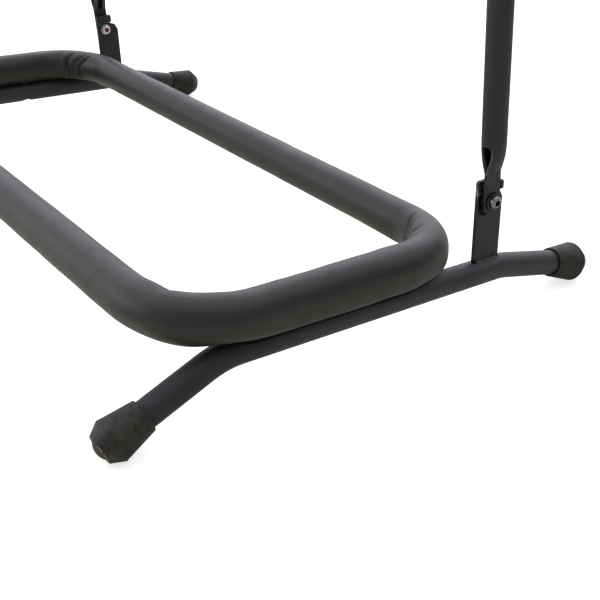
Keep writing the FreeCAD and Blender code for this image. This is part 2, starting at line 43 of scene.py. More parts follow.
# ---------------------------------------------------------------------------
# Sizes of the stand, in millimetres
# ---------------------------------------------------------------------------
X_END, LOOP_SPAN, LOOP_R = 347.0, 262.5, 62.7
LOOP_TILT = math.radians(2.39)
Y_FRONT, Z_FRONT = -178.979, 82.05
FOAM_R, FOAM_BORE = 18.0, 11.1
FOOT_X, FOOT_DROP, FOOT_R = 343.1, 29.0, 11.0
FIX_Y = (92.0, 176.0)
RIVET_X = 30.0
BAR_Y, BAR_Z, FRAME_R = 76.085, 641.386, 10.0
DIVIDER_X = [106.0 * (k - 2.5) for k in range(6)]
ROD_RISE = math.radians(18.0)
ROD_R, SLEEVE_R, SLEEVE_END = 5.0, 12.0, 94.95
BAR_FOAM_END = 279.0


def to_stand(p):
    """From the loop's plane, in mm, to the stand's frame, in metres."""
    p = np.asarray(p, float)
    c, s = math.cos(LOOP_TILT), math.sin(LOOP_TILT)
    out = np.stack([p[..., 0],
                    Y_FRONT + p[..., 1] * c + p[..., 2] * s,
                    Z_FRONT - p[..., 1] * s + p[..., 2] * c], -1)
    return out * MM


# ---------------------------------------------------------------------------
# Mesh helpers
# ---------------------------------------------------------------------------
def add_object(name, verts, faces, sharp=40.0):
    me = bpy.data.meshes.new(name)
    me.from_pydata(np.asarray(verts, float).tolist(), [], faces)
    bm = bmesh.new()
    bm.from_mesh(me)
    bmesh.ops.recalc_face_normals(bm, faces=bm.faces)
    bm.to_mesh(me)
    bm.free()
    ob = bpy.data.objects.new(name, me)
    bpy.context.scene.collection.objects.link(ob)
    smooth(ob, sharp)
    return ob


def smooth(ob, angle):
    me = ob.data
    me.polygons.foreach_set("use_smooth", [True] * len(me.polygons))
    me.set_sharp_from_angle(angle=math.radians(angle))
    me.update()


def ring_faces(first, rows, n, flip=False):
    """Quads between neighbouring rings of n points."""
    i, j = np.meshgrid(np.arange(rows - 1), np.arange(n), indexing="ij")
    a = first + i * n + j
    b = first + i * n + (j + 1) % n
    c = first + (i + 1) * n + (j + 1) % n
    d = first + (i + 1) * n + j
    q = np.stack([a, d, c, b] if flip else [a, b, c, d], -1).reshape(-1, 4)
    return q.tolist()


def sleeve(name, outer, bore, sharp=40.0):
    """A closed sleeve from rings of outer points and rings of bore points, end to end."""
    m, n = outer.shape[:2]
    k = bore.shape[0]
    verts = np.concatenate([outer.reshape(-1, 3), bore.reshape(-1, 3)])
    faces = ring_faces(0, m, n) + ring_faces(m * n, k, n, True)
    for a, b, flip in ((0, m * n, False), ((m - 1) * n, m * n + (k - 1) * n, True)):
        for j in range(n):
            q = [a + j, b + j, b + (j + 1) % n, a + (j + 1) % n]
            faces.append(q[::-1] if flip else q)
    return add_object(name, verts, faces, sharp)


def pin(p0, p1, r, sides=48):
    """A closed cylinder from p0 to p1, in metres, used as a cutter."""
    p0, p1 = Vector(p0), Vector(p1)
    d = (p1 - p0).normalized()
    u = d.orthogonal().normalized()
    v = d.cross(u)
    verts, faces = [], []
    for p in (p0, p1):
        for k in range(sides):
            a = 2 * math.pi * k / sides
            verts.append(p + (u * math.cos(a) + v * math.sin(a)) * r)
    for k in range(sides):
        faces.append([k, (k + 1) % sides, sides + (k + 1) % sides, sides + k])
    faces += [list(range(sides))[::-1], list(range(sides, 2 * sides))]
    return add_object("cutter", [list(v) for v in verts], faces)


def prism(outline, along, length):
    """A closed prism from a flat outline of points, pushed along a direction."""
    a = np.asarray(outline, float)
    b = a + np.asarray(along, float) * length
    n = len(a)
    faces = [[k, (k + 1) % n, n + (k + 1) % n, n + k] for k in range(n)]
    faces += [list(range(n))[::-1], list(range(n, 2 * n))]
    return add_object("cutter", np.concatenate([a, b]), faces)


def cut(ob, cutters, sharp=40.0):
    """Takes the cutters out of ob, and removes them."""
    for c in cutters:
        mod = ob.modifiers.new("cut", "BOOLEAN")
        mod.operation, mod.solver, mod.object = "DIFFERENCE", "EXACT", c
    bpy.context.view_layer.update()
    dg = bpy.context.evaluated_depsgraph_get()
    me = bpy.data.meshes.new_from_object(ob.evaluated_get(dg))
    if len(me.polygons) < len(ob.data.polygons) / 2:
        raise RuntimeError("cutting left too little of " + ob.name)
    old = ob.data
    ob.modifiers.clear()
    ob.data = me
    me.name = ob.name
    bpy.data.meshes.remove(old)
    for c in cutters:
        bpy.data.objects.remove(c)
    smooth(ob, sharp)


def bell(x, c, w):
    return np.exp(-((x - c) / w) ** 2)


def step(x, a, b):
    t = np.clip((x - a) / (b - a), 0, 1)
    return t * t * (3 - 2 * t)


def vee(x, w):
    """A crease: a sharp bottom, and sides that run out smoothly at w."""
    t = np.clip(1 - np.abs(x) / w, 0, 1)
    return t * t


def uneven(seed, s, th, waves):
    """Slow hand-made unevenness over a sleeve: s along it in mm, th round it."""
    rs = np.random.RandomState(seed)
    out = np.zeros(np.broadcast(s, th).shape)
    for length, amount, most in waves:
        for _ in range(6):
            k = rs.randint(0, most + 1)
            wl = length * (0.7 + 0.6 * rs.rand())
            out = out + amount / 2.5 * np.sin(2 * math.pi * s / wl + 6.28 * rs.rand()) * np.cos(k * th + 6.28 * rs.rand())
    return out


# ---------------------------------------------------------------------------
# Foam on the base loop: one sleeve each side, pushed round both corners
# ---------------------------------------------------------------------------
ARC = LOOP_R * math.pi / 2
START = 0.01
S_A = X_END - LOOP_R - START
S_B = S_A + ARC
S_C = S_B + LOOP_SPAN - 2 * LOOP_R
S_D = S_C + ARC
S_E = S_D + X_END - LOOP_R - START


def loop_axis(s):
    """Point on the loop's axis and the direction to the inside of the loop."""
    c_in, c_front, c_rear = X_END - LOOP_R, LOOP_R, LOOP_SPAN - LOOP_R
    if s <= S_A:
        return (START + s, 0.0, 0.0), (0.0, 1.0, 0.0)
    if s <= S_B:
        a = (s - S_A) / LOOP_R
        return (c_in + LOOP_R * math.sin(a), c_front - LOOP_R * math.cos(a), 0.0), (-math.sin(a), math.cos(a), 0.0)
    if s <= S_C:
        return (X_END, c_front + s - S_B, 0.0), (-1.0, 0.0, 0.0)
    if s <= S_D:
        a = (s - S_C) / LOOP_R
        return (c_in + LOOP_R * math.cos(a), c_rear + LOOP_R * math.sin(a), 0.0), (-math.cos(a), -math.sin(a), 0.0)
    return (c_in - (s - S_D), LOOP_SPAN, 0.0), (0.0, -1.0, 0.0)


def loop_radius(s, th, seed, turn, share):
    """Radius of the sleeve. turn shifts the creases round the corners, share scales them."""
    deg = np.degrees((th + math.pi) % (2 * math.pi) - math.pi)
    phi_f = (s - S_A) / LOOP_R * 57.2958
    phi_r = (s - S_C) / LOOP_R * 57.2958
    front = 1 - step(s, S_A - 10, S_A + 60)
    rear = step(s, S_D - 50, S_D + 20)
    under = bell(deg, -180, 16) + bell(deg, 188, 40) * (deg > 0)
    r = FOAM_R + front * (0.33 + 0.27 * np.cos(th + math.radians(110))) - rear * 0.9
    # slow swelling where the sleeve is pushed together or drawn thin
    top = bell(deg, 25, 32)
    r = r + top * (0.7 * bell(phi_f, 62 + turn, 20) - 0.2 * bell(s, S_B + 14, 24) + 0.25 * bell(s, S_C - 20 + turn, 26))
    low = bell(deg, -120, 30)
    r = r + low * (-2.0 * bell(phi_f, 17 + turn, 14) + 1.5 * bell(phi_f, 52 + turn, 14))
    r = r + bell(deg, -146, 24) * (-0.7 * bell(phi_f, -10 + turn, 16) + 0.9 * bell(phi_f, 42 + turn, 20))
    r = r + bell(deg, 34, 24) * (0.9 * bell(s, S_C - 5, 15) - 0.5 * bell(s, S_B + 45, 26))
    r = r + 0.8 * bell(deg, 148, 26) * bell(s, S_D + 6, 15)
    # front corner: fold at the top of the inside
    r = r + 1.6 * share * bell(deg, 26, 22) * bell(phi_f, 12 + turn, 13)
    r = r - 0.8 * share * bell(deg, 27, 19) * vee(phi_f - 30 - turn, 10)
    for c, d in ((17, 0.9), (37, 1.2), (56, 1.1), (76, 0.8)):
        at = c + turn + 0.12 * (deg - 90)
        r = r - share * d * vee(phi_f - at, 9) * bell(deg, 95, 34)
        r = r + share * d * 0.4 * bell(phi_f, at + 10, 6) * bell(deg, 95, 34)
    # rear corner: three folds on the inside, leaning towards the top
    a = np.interp(deg, [15, 30, 85], [73, 72, 58]) + turn
    b = np.interp(deg, [18, 60], [48, 40]) + turn
    c = np.interp(deg, [12, 28], [35, 29]) + turn
    side_a = step(deg, 2, 62) * (1 - step(deg, 120, 160))
    side_b = step(deg, 2, 56) * (1 - step(deg, 118, 155))
    side_c = step(deg, 4, 40) * (1 - step(deg, 60, 120))
    d = a - 9 - 0.05 * (deg - 60)
    r = r - share * (3.0 * vee(phi_r - a, 6.5) * side_a
                     + 1.6 * vee(phi_r - d, 3.5) * side_a
                     + 2.4 * vee(phi_r - b, 6.0) * side_b
                     + 1.2 * vee(phi_r - c, 6.0) * side_c)
    r = r + share * (0.5 * bell(phi_r, (d + b) / 2, 4.5) * side_b
                     + 0.6 * bell(phi_r, (b + c) / 2, 5) * side_b)
    # the bar's sleeve is squeezed a little where it meets the last fold
    r = r - share * 0.5 * bell(phi_r, 88, 9) * bell(deg, 75, 40)
    # rear corner: fuller low on the outside
    r = r + 2.1 * bell(deg, -118, 23) * bell(phi_r, 30, 19)
    # end run: pushed outwards over the side of the foot tube
    r = r + 1.9 * bell(deg, -140, 22) * step(s, S_B - 28, S_B + 12) * (1 - step(s, S_C - 6, S_C + 20))
    # fine ripples behind the last fold
    r = r + 0.13 * share * np.sin(2 * math.pi * s / 2.6 + 0.4 * np.sin(th * 3)) * bell(phi_r, 91, 11) * bell(deg, 70, 32)
    r = r + 0.05 * np.sin(2 * math.pi * s / 3.6 + np.sin(th * 2 + seed)) * bell(s, S_C - 18, 34) * bell(deg, -105, 34)
    r = r + uneven(seed, s, th, ((170, 0.16, 2), (60, 0.10, 3), (22, 0.045, 5))) * step(np.minimum(s, S_E - s), 2, 50)
    # it rests on the foot tube
    on_tube = step(s, S_A + 40, S_A + 70) * (1 - step(s, S_D - 60, S_D - 25))
    most = FOAM_R + 0.12 + 3.0 * (1 - under * on_tube).clip(0, 1)
    return np.minimum(r, most)


def loop_stations():
    return np.concatenate([np.arange(0, S_A - 24, 2.0), np.arange(S_A - 24, S_B + 20, 1.0),
                           np.arange(S_B + 20, S_C - 26, 1.8), np.arange(S_C - 26, S_D + 26, 0.8),
                           np.arange(S_D + 26, S_E - 1, 2.0), [S_E]])


def loop_foam(name, side, seed, turn, share):
    n = 112
    s = loop_stations()
    th = np.arange(n) * 2 * math.pi / n
    pos, inn = (np.array(v) for v in zip(*[loop_axis(x) for x in s]))
    r = loop_radius(s[:, None], th[None, :], seed, turn, share)
    spoke = np.cos(th)[None, :, None] * np.array([0, 0, 1.0]) + np.sin(th)[None, :, None] * inn[:, None, :]
    outer = pos[:, None, :] + r[..., None] * spoke
    keep = np.unique(np.concatenate([np.arange(0, len(s), 5), [len(s) - 1]]))
    bore = (pos[:, None, :] + FOAM_BORE * spoke)[keep]
    outer[..., 0] *= side
    bore[..., 0] *= side
    ob = sleeve(name, to_stand(outer), to_stand(bore))
    cutters = []
    fix = np.array([X_END - FOOT_X, 0, FOOT_DROP])
    for y in FIX_Y:
        o = np.array([FOOT_X, y, -FOOT_DROP])
        for f0, f1, r in ((0.1, 0.8, 4.9), (0.57, 0.8, 6.4)):
            p0, p1 = o + fix * f0, o + fix * f1
            p0[0] *= side
            p1[0] *= side
            cutters.append(pin(to_stand(p0), to_stand(p1), r * MM))
    for y in (0.0, LOOP_SPAN):
        cutters.append(pin(to_stand([side * RIVET_X, y, -0.5]), to_stand([side * RIVET_X, y, -12.9]), 4.5 * MM))
    cut(ob, cutters)
    return ob


foams = []
for side, name, seed, turn, share in ((1, "loop_foam_right", 11, 0.0, 1.0), (-1, "loop_foam_left", 29, -4.0, 0.9)):
    ob = loop_foam(name + "_sleeve", side, seed, turn, share)
    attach(ob, "base")
    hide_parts(name)
    foams.append(ob)

# ---------------------------------------------------------------------------
# Foam on the neck bar, in five lengths that meet at the divider rods
# ---------------------------------------------------------------------------
FWD = np.array([0.0, -math.cos(ROD_RISE), math.sin(ROD_RISE)])


def bar_foam(name, a, b, seed):
    n = 96
    rim = [1.2 * (1 - math.cos(math.radians(q))) for q in (0, 22, 45, 67, 90)]
    s = np.concatenate([rim, np.arange(rim[-1] + 1.5, b - a - rim[-1] - 1, 1.5), [b - a - q for q in rim[::-1]]])
    th = np.arange(n) * 2 * math.pi / n
    S, TH = s[:, None], th[None, :]
    r = FOAM_R - 0.25 + uneven(seed, S, TH, ((120, 0.14, 2), (45, 0.09, 3), (18, 0.04, 5)))
    near = np.minimum(S, b - a - S)
    r = r + 0.35 * bell(near, 5, 5) - 0.25 * bell(near, 16, 8)
    d = np.minimum(s, b - a - s).clip(0, 1.2)
    r = r - (1.2 - np.sqrt(np.maximum(1.44 - (1.2 - d) ** 2, 0)))[:, None]
    pos = np.stack([a + s, np.full_like(s, BAR_Y), np.full_like(s, BAR_Z)], -1)
    spoke = np.cos(th)[:, None] * np.array([0, 0, 1.0]) + np.sin(th)[:, None] * np.array([0, -1.0, 0])
    outer = pos[:, None, :] + r[..., None] * spoke[None]
    keep = np.unique(np.concatenate([np.arange(0, len(s), 8), [len(s) - 1]]))
    bore = (pos[:, None, :] + (FRAME_R + 0.1) * spoke[None])[keep]
    ob = sleeve(name, outer * MM, bore * MM)
    cutters = []
    for x in DIVIDER_X:
        if a - 6 < x < b + 6:
            o = np.array([x, BAR_Y, BAR_Z])
            cutters.append(pin(o * MM, (o + FWD * 40) * MM, (ROD_R + 0.3) * MM))
    cut(ob, cutters)
    return ob


for k in range(5):
    a = -BAR_FOAM_END if k == 0 else DIVIDER_X[k] + 0.1
    b = BAR_FOAM_END if k == 4 else DIVIDER_X[k + 1] - 0.1
    name = "neck_bar_foam_%d" % (k + 1)
    ob = bar_foam(name + "_sleeve", a, b, 40 + k)
    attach(ob, "upper_frame")
    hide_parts(name)
    foams.append(ob)


# ---------------------------------------------------------------------------
# Foam on the dividers, coped to the foam of the neck bar
# ---------------------------------------------------------------------------
def divider_foam(name, x, seed):
    n, rim = 72, 0.7
    th = np.arange(n) * 2 * math.pi / n
    up = np.array([0.0, math.sin(ROD_RISE), math.cos(ROD_RISE)])
    side = np.array([1.0, 0.0, 0.0])
    o = np.array([x, BAR_Y, BAR_Z])
    near = FOAM_R + 0.2

    def start(r):
        return np.sqrt(near ** 2 - (r * np.cos(th)) ** 2)

    t = np.concatenate([np.linspace(0, 1, 58)])
    rows, bore = [], []
    length = SLEEVE_END - near
    for q in (0, 22, 45, 67, 90):
        d = rim * (1 - math.cos(math.radians(q)))
        rr = SLEEVE_R - 0.1 - rim * (1 - math.sin(math.radians(q)))
        rows.append((start(SLEEVE_R) + d, np.full(n, rr)))
    for f in np.linspace(0.02, 0.98, 54):
        s0 = start(SLEEVE_R) + rim
        s = s0 + (SLEEVE_END - rim - s0) * f
        rr = SLEEVE_R - 0.1 + uneven(seed, s, th, ((70, 0.10, 2), (25, 0.06, 3)))
        rr = rr + 0.2 * bell(s, SLEEVE_END - 4, 4) - 0.12 * bell(s, SLEEVE_END - 13, 6)
        rows.append((s, rr))
    for q in (90, 67, 45, 22, 0):
        d = rim * (1 - math.cos(math.radians(q)))
        rr = SLEEVE_R - 0.1 - rim * (1 - math.sin(math.radians(q)))
        rows.append((np.full(n, SLEEVE_END - d), np.full(n, rr)))
    for f in (0, 0.33, 0.66, 1):
        s0 = start(ROD_R + 0.1)
        bore.append((s0 + (SLEEVE_END - s0) * f, np.full(n, ROD_R + 0.1)))
    spoke = np.cos(th)[:, None] * up + np.sin(th)[:, None] * side

    def points(rows):
        return np.stack([o + s[:, None] * FWD + rr[:, None] * spoke for s, rr in rows])

    return sleeve(name, points(rows) * MM, points(bore) * MM)


for k, x in enumerate(DIVIDER_X):
    name = "neck_divider_foam_%d" % (k + 1)
    ob = divider_foam(name + "_sleeve", x, 60 + k)
    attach(ob, "upper_frame")
    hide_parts(name)
    foams.append(ob)


# ---------------------------------------------------------------------------
# Upper frame: one bent tube, its two lower ends pressed flat, trimmed at both sides and drilled
# ---------------------------------------------------------------------------
TAB_X, PIVOT_Y, PIVOT_Z = 349.65, 113.4045, 107.6895
LEAN = math.radians(4.0)
UPRIGHT, FRAME_BEND = 535.0, 62.7
TAB_HALF, TRIM_TOP, WALL = 8.0, 49.6, 1.1
UP = np.array([0.0, -math.sin(LEAN), math.cos(LEAN)])
ACROSS = np.array([0.0, math.cos(LEAN), math.sin(LEAN)])
TAB_T, SLIT = 1.25, 0.07


def fullness(h):
    """0 where the end is pressed flat, 1 where the tube is round; h is the height above the pivot."""
    grid = np.arange(-30, 120, 0.25)
    g = np.interp(grid, [25.2, 27.9, 31.1, 36.2, 40.0, 43.0, 47.0, 53.0], [0.0, 0.20, 0.44, 0.72, 0.85, 0.91, 0.97, 1.0])
    k = np.exp(-(np.arange(-24, 25) * 0.25 / 0.5) ** 2)
    g = np.convolve(np.pad(g, 24, mode="edge"), k / k.sum(), mode="valid")
    return np.interp(np.asarray(h, float), grid, g)


def pressed(h, radius, flat, n):
    """Outline across the tube at one height: round, pressed towards a flat half thickness."""
    a = np.arange(n) * 2 * math.pi / n
    c = np.cos(a)
    x = flat + (radius * np.abs(c) - flat) * float(fullness(h))
    return np.sign(c) * np.maximum(x, 0.0) * (np.abs(c) > 1e-9), radius * np.sin(a)


def trim(h):
    """How far from the middle the sides are trimmed off."""
    return TAB_HALF - 0.8 * bell(np.asarray(h, float), 42.0, 9.0)


def trim_half(h):
    """Half width of the trimmed opening: open below, a round arch on top."""
    h = np.asarray(h, float)
    full = np.sqrt(FRAME_R ** 2 - trim(h) ** 2) + 0.06
    t = np.clip((h - (TRIM_TOP - 8.0)) / 8.0, 0, 1)
    return full * (1 - t ** 2.8) ** (1 / 2.8)


def upper_frame():
    n = 96
    run = UPRIGHT - FRAME_BEND
    arc = FRAME_BEND * math.pi / 2
    bar = 2 * (TAB_X - FRAME_BEND)
    total = 2 * run + 2 * arc + bar
    low = np.concatenate([np.arange(-14, 20, 4.0), np.arange(20, 62, 0.7), np.arange(62, 130, 8.0)])
    rise = np.concatenate([low, np.arange(134, run - 10, 14.0), np.arange(run - 4, run + arc + 4, 2.2),
                           np.arange(run + arc + 10, run + arc + bar / 2 - 3, 14.0)])
    stations = np.concatenate([rise, [run + arc + bar / 2], total - rise[::-1]])
    p0 = np.array([TAB_X, PIVOT_Y, PIVOT_Z])
    right = np.array([1.0, 0.0, 0.0])
    rings = []
    for s in stations:
        h = min(s, total - s)
        # the path, worked out on the right half and mirrored
        if h <= run:
            p, out = p0 + UP * h, right
        elif h <= run + arc:
            a = (h - run) / FRAME_BEND
            c = p0 + UP * run - right * FRAME_BEND
            out = right * math.cos(a) + UP * math.sin(a)
            p = c + out * FRAME_BEND
        else:
            p, out = p0 + UP * UPRIGHT - right * (FRAME_BEND + h - run - arc), UP
        x, y = pressed(min(h, 110), FRAME_R, TAB_T, n)
        ring = p + x[:, None] * out + y[:, None] * ACROSS
        rings.append(ring * np.array([-1.0, 1.0, 1.0]) if s > total - s else ring)
    rings = np.array(rings)
    m = len(rings)
    faces = ring_faces(0, m, n) + [list(range(n))[::-1], list(range((m - 1) * n, m * n))]
    ob = add_object("upper_frame_tube_drawn", rings.reshape(-1, 3) * MM, faces, 30)

    def at(side, x, y, z):
        p = p0 + np.multiply.outer(np.asarray(z, float), UP) + np.multiply.outer(np.asarray(y, float), ACROSS) \
            + np.multiply.outer(np.asarray(x, float), right)
        return p * np.array([side, 1.0, 1.0]) * MM

    cutters = []
    hs = np.concatenate([np.arange(25.6, 62, 0.6), np.arange(66, 130, 12.0)])
    rows = np.concatenate([np.arange(-20, 24, 4.0), np.arange(24, TRIM_TOP - 0.6, 0.6), TRIM_TOP - np.array([0.5, 0.25, 0.1, 0.02])])
    for side in (1, -1):
        inner = []
        for h in hs:
            x, y = pressed(h, FRAME_R - WALL, SLIT, 72)
            inner.append(at(side, x, y, np.full(72, h)))
        inner = np.array(inner)
        k = len(inner)
        cutters.append(add_object("cutter", inner.reshape(-1, 3),
                                  ring_faces(0, k, 72) + [list(range(72))[::-1], list(range((k - 1) * 72, k * 72))]))
        for sy in (-1, 1):
            rings = []
            for h in rows:
                w, y = float(trim_half(h)), float(trim(h))
                rings.append(at(side, [-w, w, w, -w], [sy * y, sy * y, sy * 14.0, sy * 14.0], [h] * 4))
            rings = np.array(rings)
            k = len(rings)
            cutters.append(add_object("cutter", rings.reshape(-1, 3),
                                      ring_faces(0, k, 4) + [[0, 1, 2, 3][::-1], list(range((k - 1) * 4, k * 4))]))
        ys = np.linspace(9.5, -9.5, 60)
        outline = [(-9.5, -20.0), (9.5, -20.0)] + [(y, -math.sqrt(121 - y * y)) for y in ys]
        pts = at(side, [-20.0] * len(outline), [q[0] for q in outline], [q[1] for q in outline])
        cutters.append(prism(pts, right * side, 40 * MM))
        cutters.append(pin(at(side, -9.0, 0.0, 0.0), at(side, 9.0, 0.0, 0.0), 3.07 * MM, 64))
    cut(ob, cutters, 30)
    plain = len(ob.data.polygons)
    # rounded rim of each trimmed opening
    bm = bmesh.new()
    bm.from_mesh(ob.data)
    for side in (1, -1):
        for sy in (-1, 1):
            # middle of the wall where it is trimmed: up one side, over the arch and down the other
            spring = TRIM_TOP - 8.0
            up_h = np.concatenate([np.arange(25.4, spring, 0.6), spring + 8.0 * np.sin(np.linspace(0, math.pi / 2, 34)) ** (2 / 2.8)])
            g, flat = fullness(up_h), (TAB_T + SLIT) / 2
            x = flat + (np.sqrt((FRAME_R - WALL / 2) ** 2 - trim(up_h) ** 2) - flat) * g
            x = np.minimum(x, trim_half(up_h))
            y = -np.sqrt((FRAME_R - WALL / 2) ** 2 - (flat + (x - flat) / g.clip(0.02, 1)).clip(0, 7) ** 2)
            y = np.where(up_h < spring, -trim(up_h), y)
            path = list(zip(x, y, up_h))
            path += [(-x, y, h) for x, y, h in path[-2::-1]]
            path = np.array(path)
            m, n_r = len(path), 10
            run = np.gradient(path, axis=0)
            run = run / np.linalg.norm(run, axis=1)[:, None]
            size = 0.52 * step(np.minimum(np.arange(m), m - 1 - np.arange(m)), -3, 12)
            tube = []
            for i in range(m):
                u = np.cross(run[i], [0.0, 1.0, 0.0])
                u = u / np.linalg.norm(u)
                v = np.cross(run[i], u)
                for j in range(n_r):
                    w = 2 * math.pi * j / n_r
                    tube.append(path[i] + size[i] * (u * math.cos(w) + v * math.sin(w)))
            tube = np.array(tube)
            pts = at(side, tube[:, 0], -sy * tube[:, 1], tube[:, 2])
            rim = add_object("rim", pts, ring_faces(0, m, n_r) + [list(range(n_r))[::-1], list(range((m - 1) * n_r, m * n_r))])
            bm.from_mesh(rim.data)
            old = rim.data
            bpy.data.objects.remove(rim)
            bpy.data.meshes.remove(old)
    bm.to_mesh(ob.data)
    bm.free()
    smooth(ob, 30)
    return ob, plain


upper, upper_plain = upper_frame()
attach(upper, "upper_frame")
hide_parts("upper_frame_tube")

# ---------------------------------------------------------------------------
# Weld beads round the foot of each pivot bracket
# ---------------------------------------------------------------------------
PLATE_Y0, PLATE_Y1, PLATE_HALF = 284.4, 313.0, 1.6


def foot_top(x, y):
    """Height of the foot tube's upper side, in the loop's plane."""
    return math.sqrt(FOOT_R ** 2 - x ** 2) - FOOT_DROP - max(0.0, y - 310.9) ** 2 / 140.0


def weld(name, side, seed):
    rs = np.random.RandomState(seed)
    verts, faces = [], []
    for face in (1, -1):
        m, n = 96, 22
        y = np.linspace(PLATE_Y0 + 2.2, PLATE_Y1 - 1.6, m)
        ends = np.minimum(y - y[0], y[-1] - y)
        start = rs.rand() * 2
        lump = np.abs(np.sin((y - y[0] + start) / 8.6 * math.pi)) ** 0.8
        rise = (1.0 + 1.25 * lump + 0.15 * np.sin(y * 2.3 + 6 * rs.rand())) * np.sqrt(np.clip(ends / 2.2, 0.02, 1))
        reach = (2.2 + 1.5 * lump + 0.2 * np.sin(y * 1.7 + 6 * rs.rand())) * np.sqrt(np.clip(ends / 2.2, 0.02, 1))
        first = len(verts)
        for i in range(m):
            for j in range(n):
                w = 2 * math.pi * j / n
                # a fat quarter round in the corner of plate and tube
                cx, cz = math.cos(w), math.sin(w)
                x = PLATE_HALF - 0.4 + reach[i] * (0.42 + 0.55 * cx)
                x = max(x, 0.2)
                top = foot_top(min(x, FOOT_R - 0.1), y[i])
                z = top - 0.35 + rise[i] * (0.30 + 0.72 * cz) * (1 - 0.45 * step(np.float64(cx), 0.0, 1.0))
                verts.append([FOOT_X + face * x, y[i] + 0.12 * math.sin(5 * w + i), z])
        faces += ring_faces(first, m, n)
        faces += [list(range(first, first + n))[::-1], list(range(first + (m - 1) * n, first + m * n))]
    verts = np.array(verts)
    verts[:, 0] *= side
    ob = add_object(name, to_stand(verts), faces, 60)
    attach(ob, "base")
    return ob


welds = [weld("bracket_weld_right", 1, 5), weld("bracket_weld_left", -1, 8)]


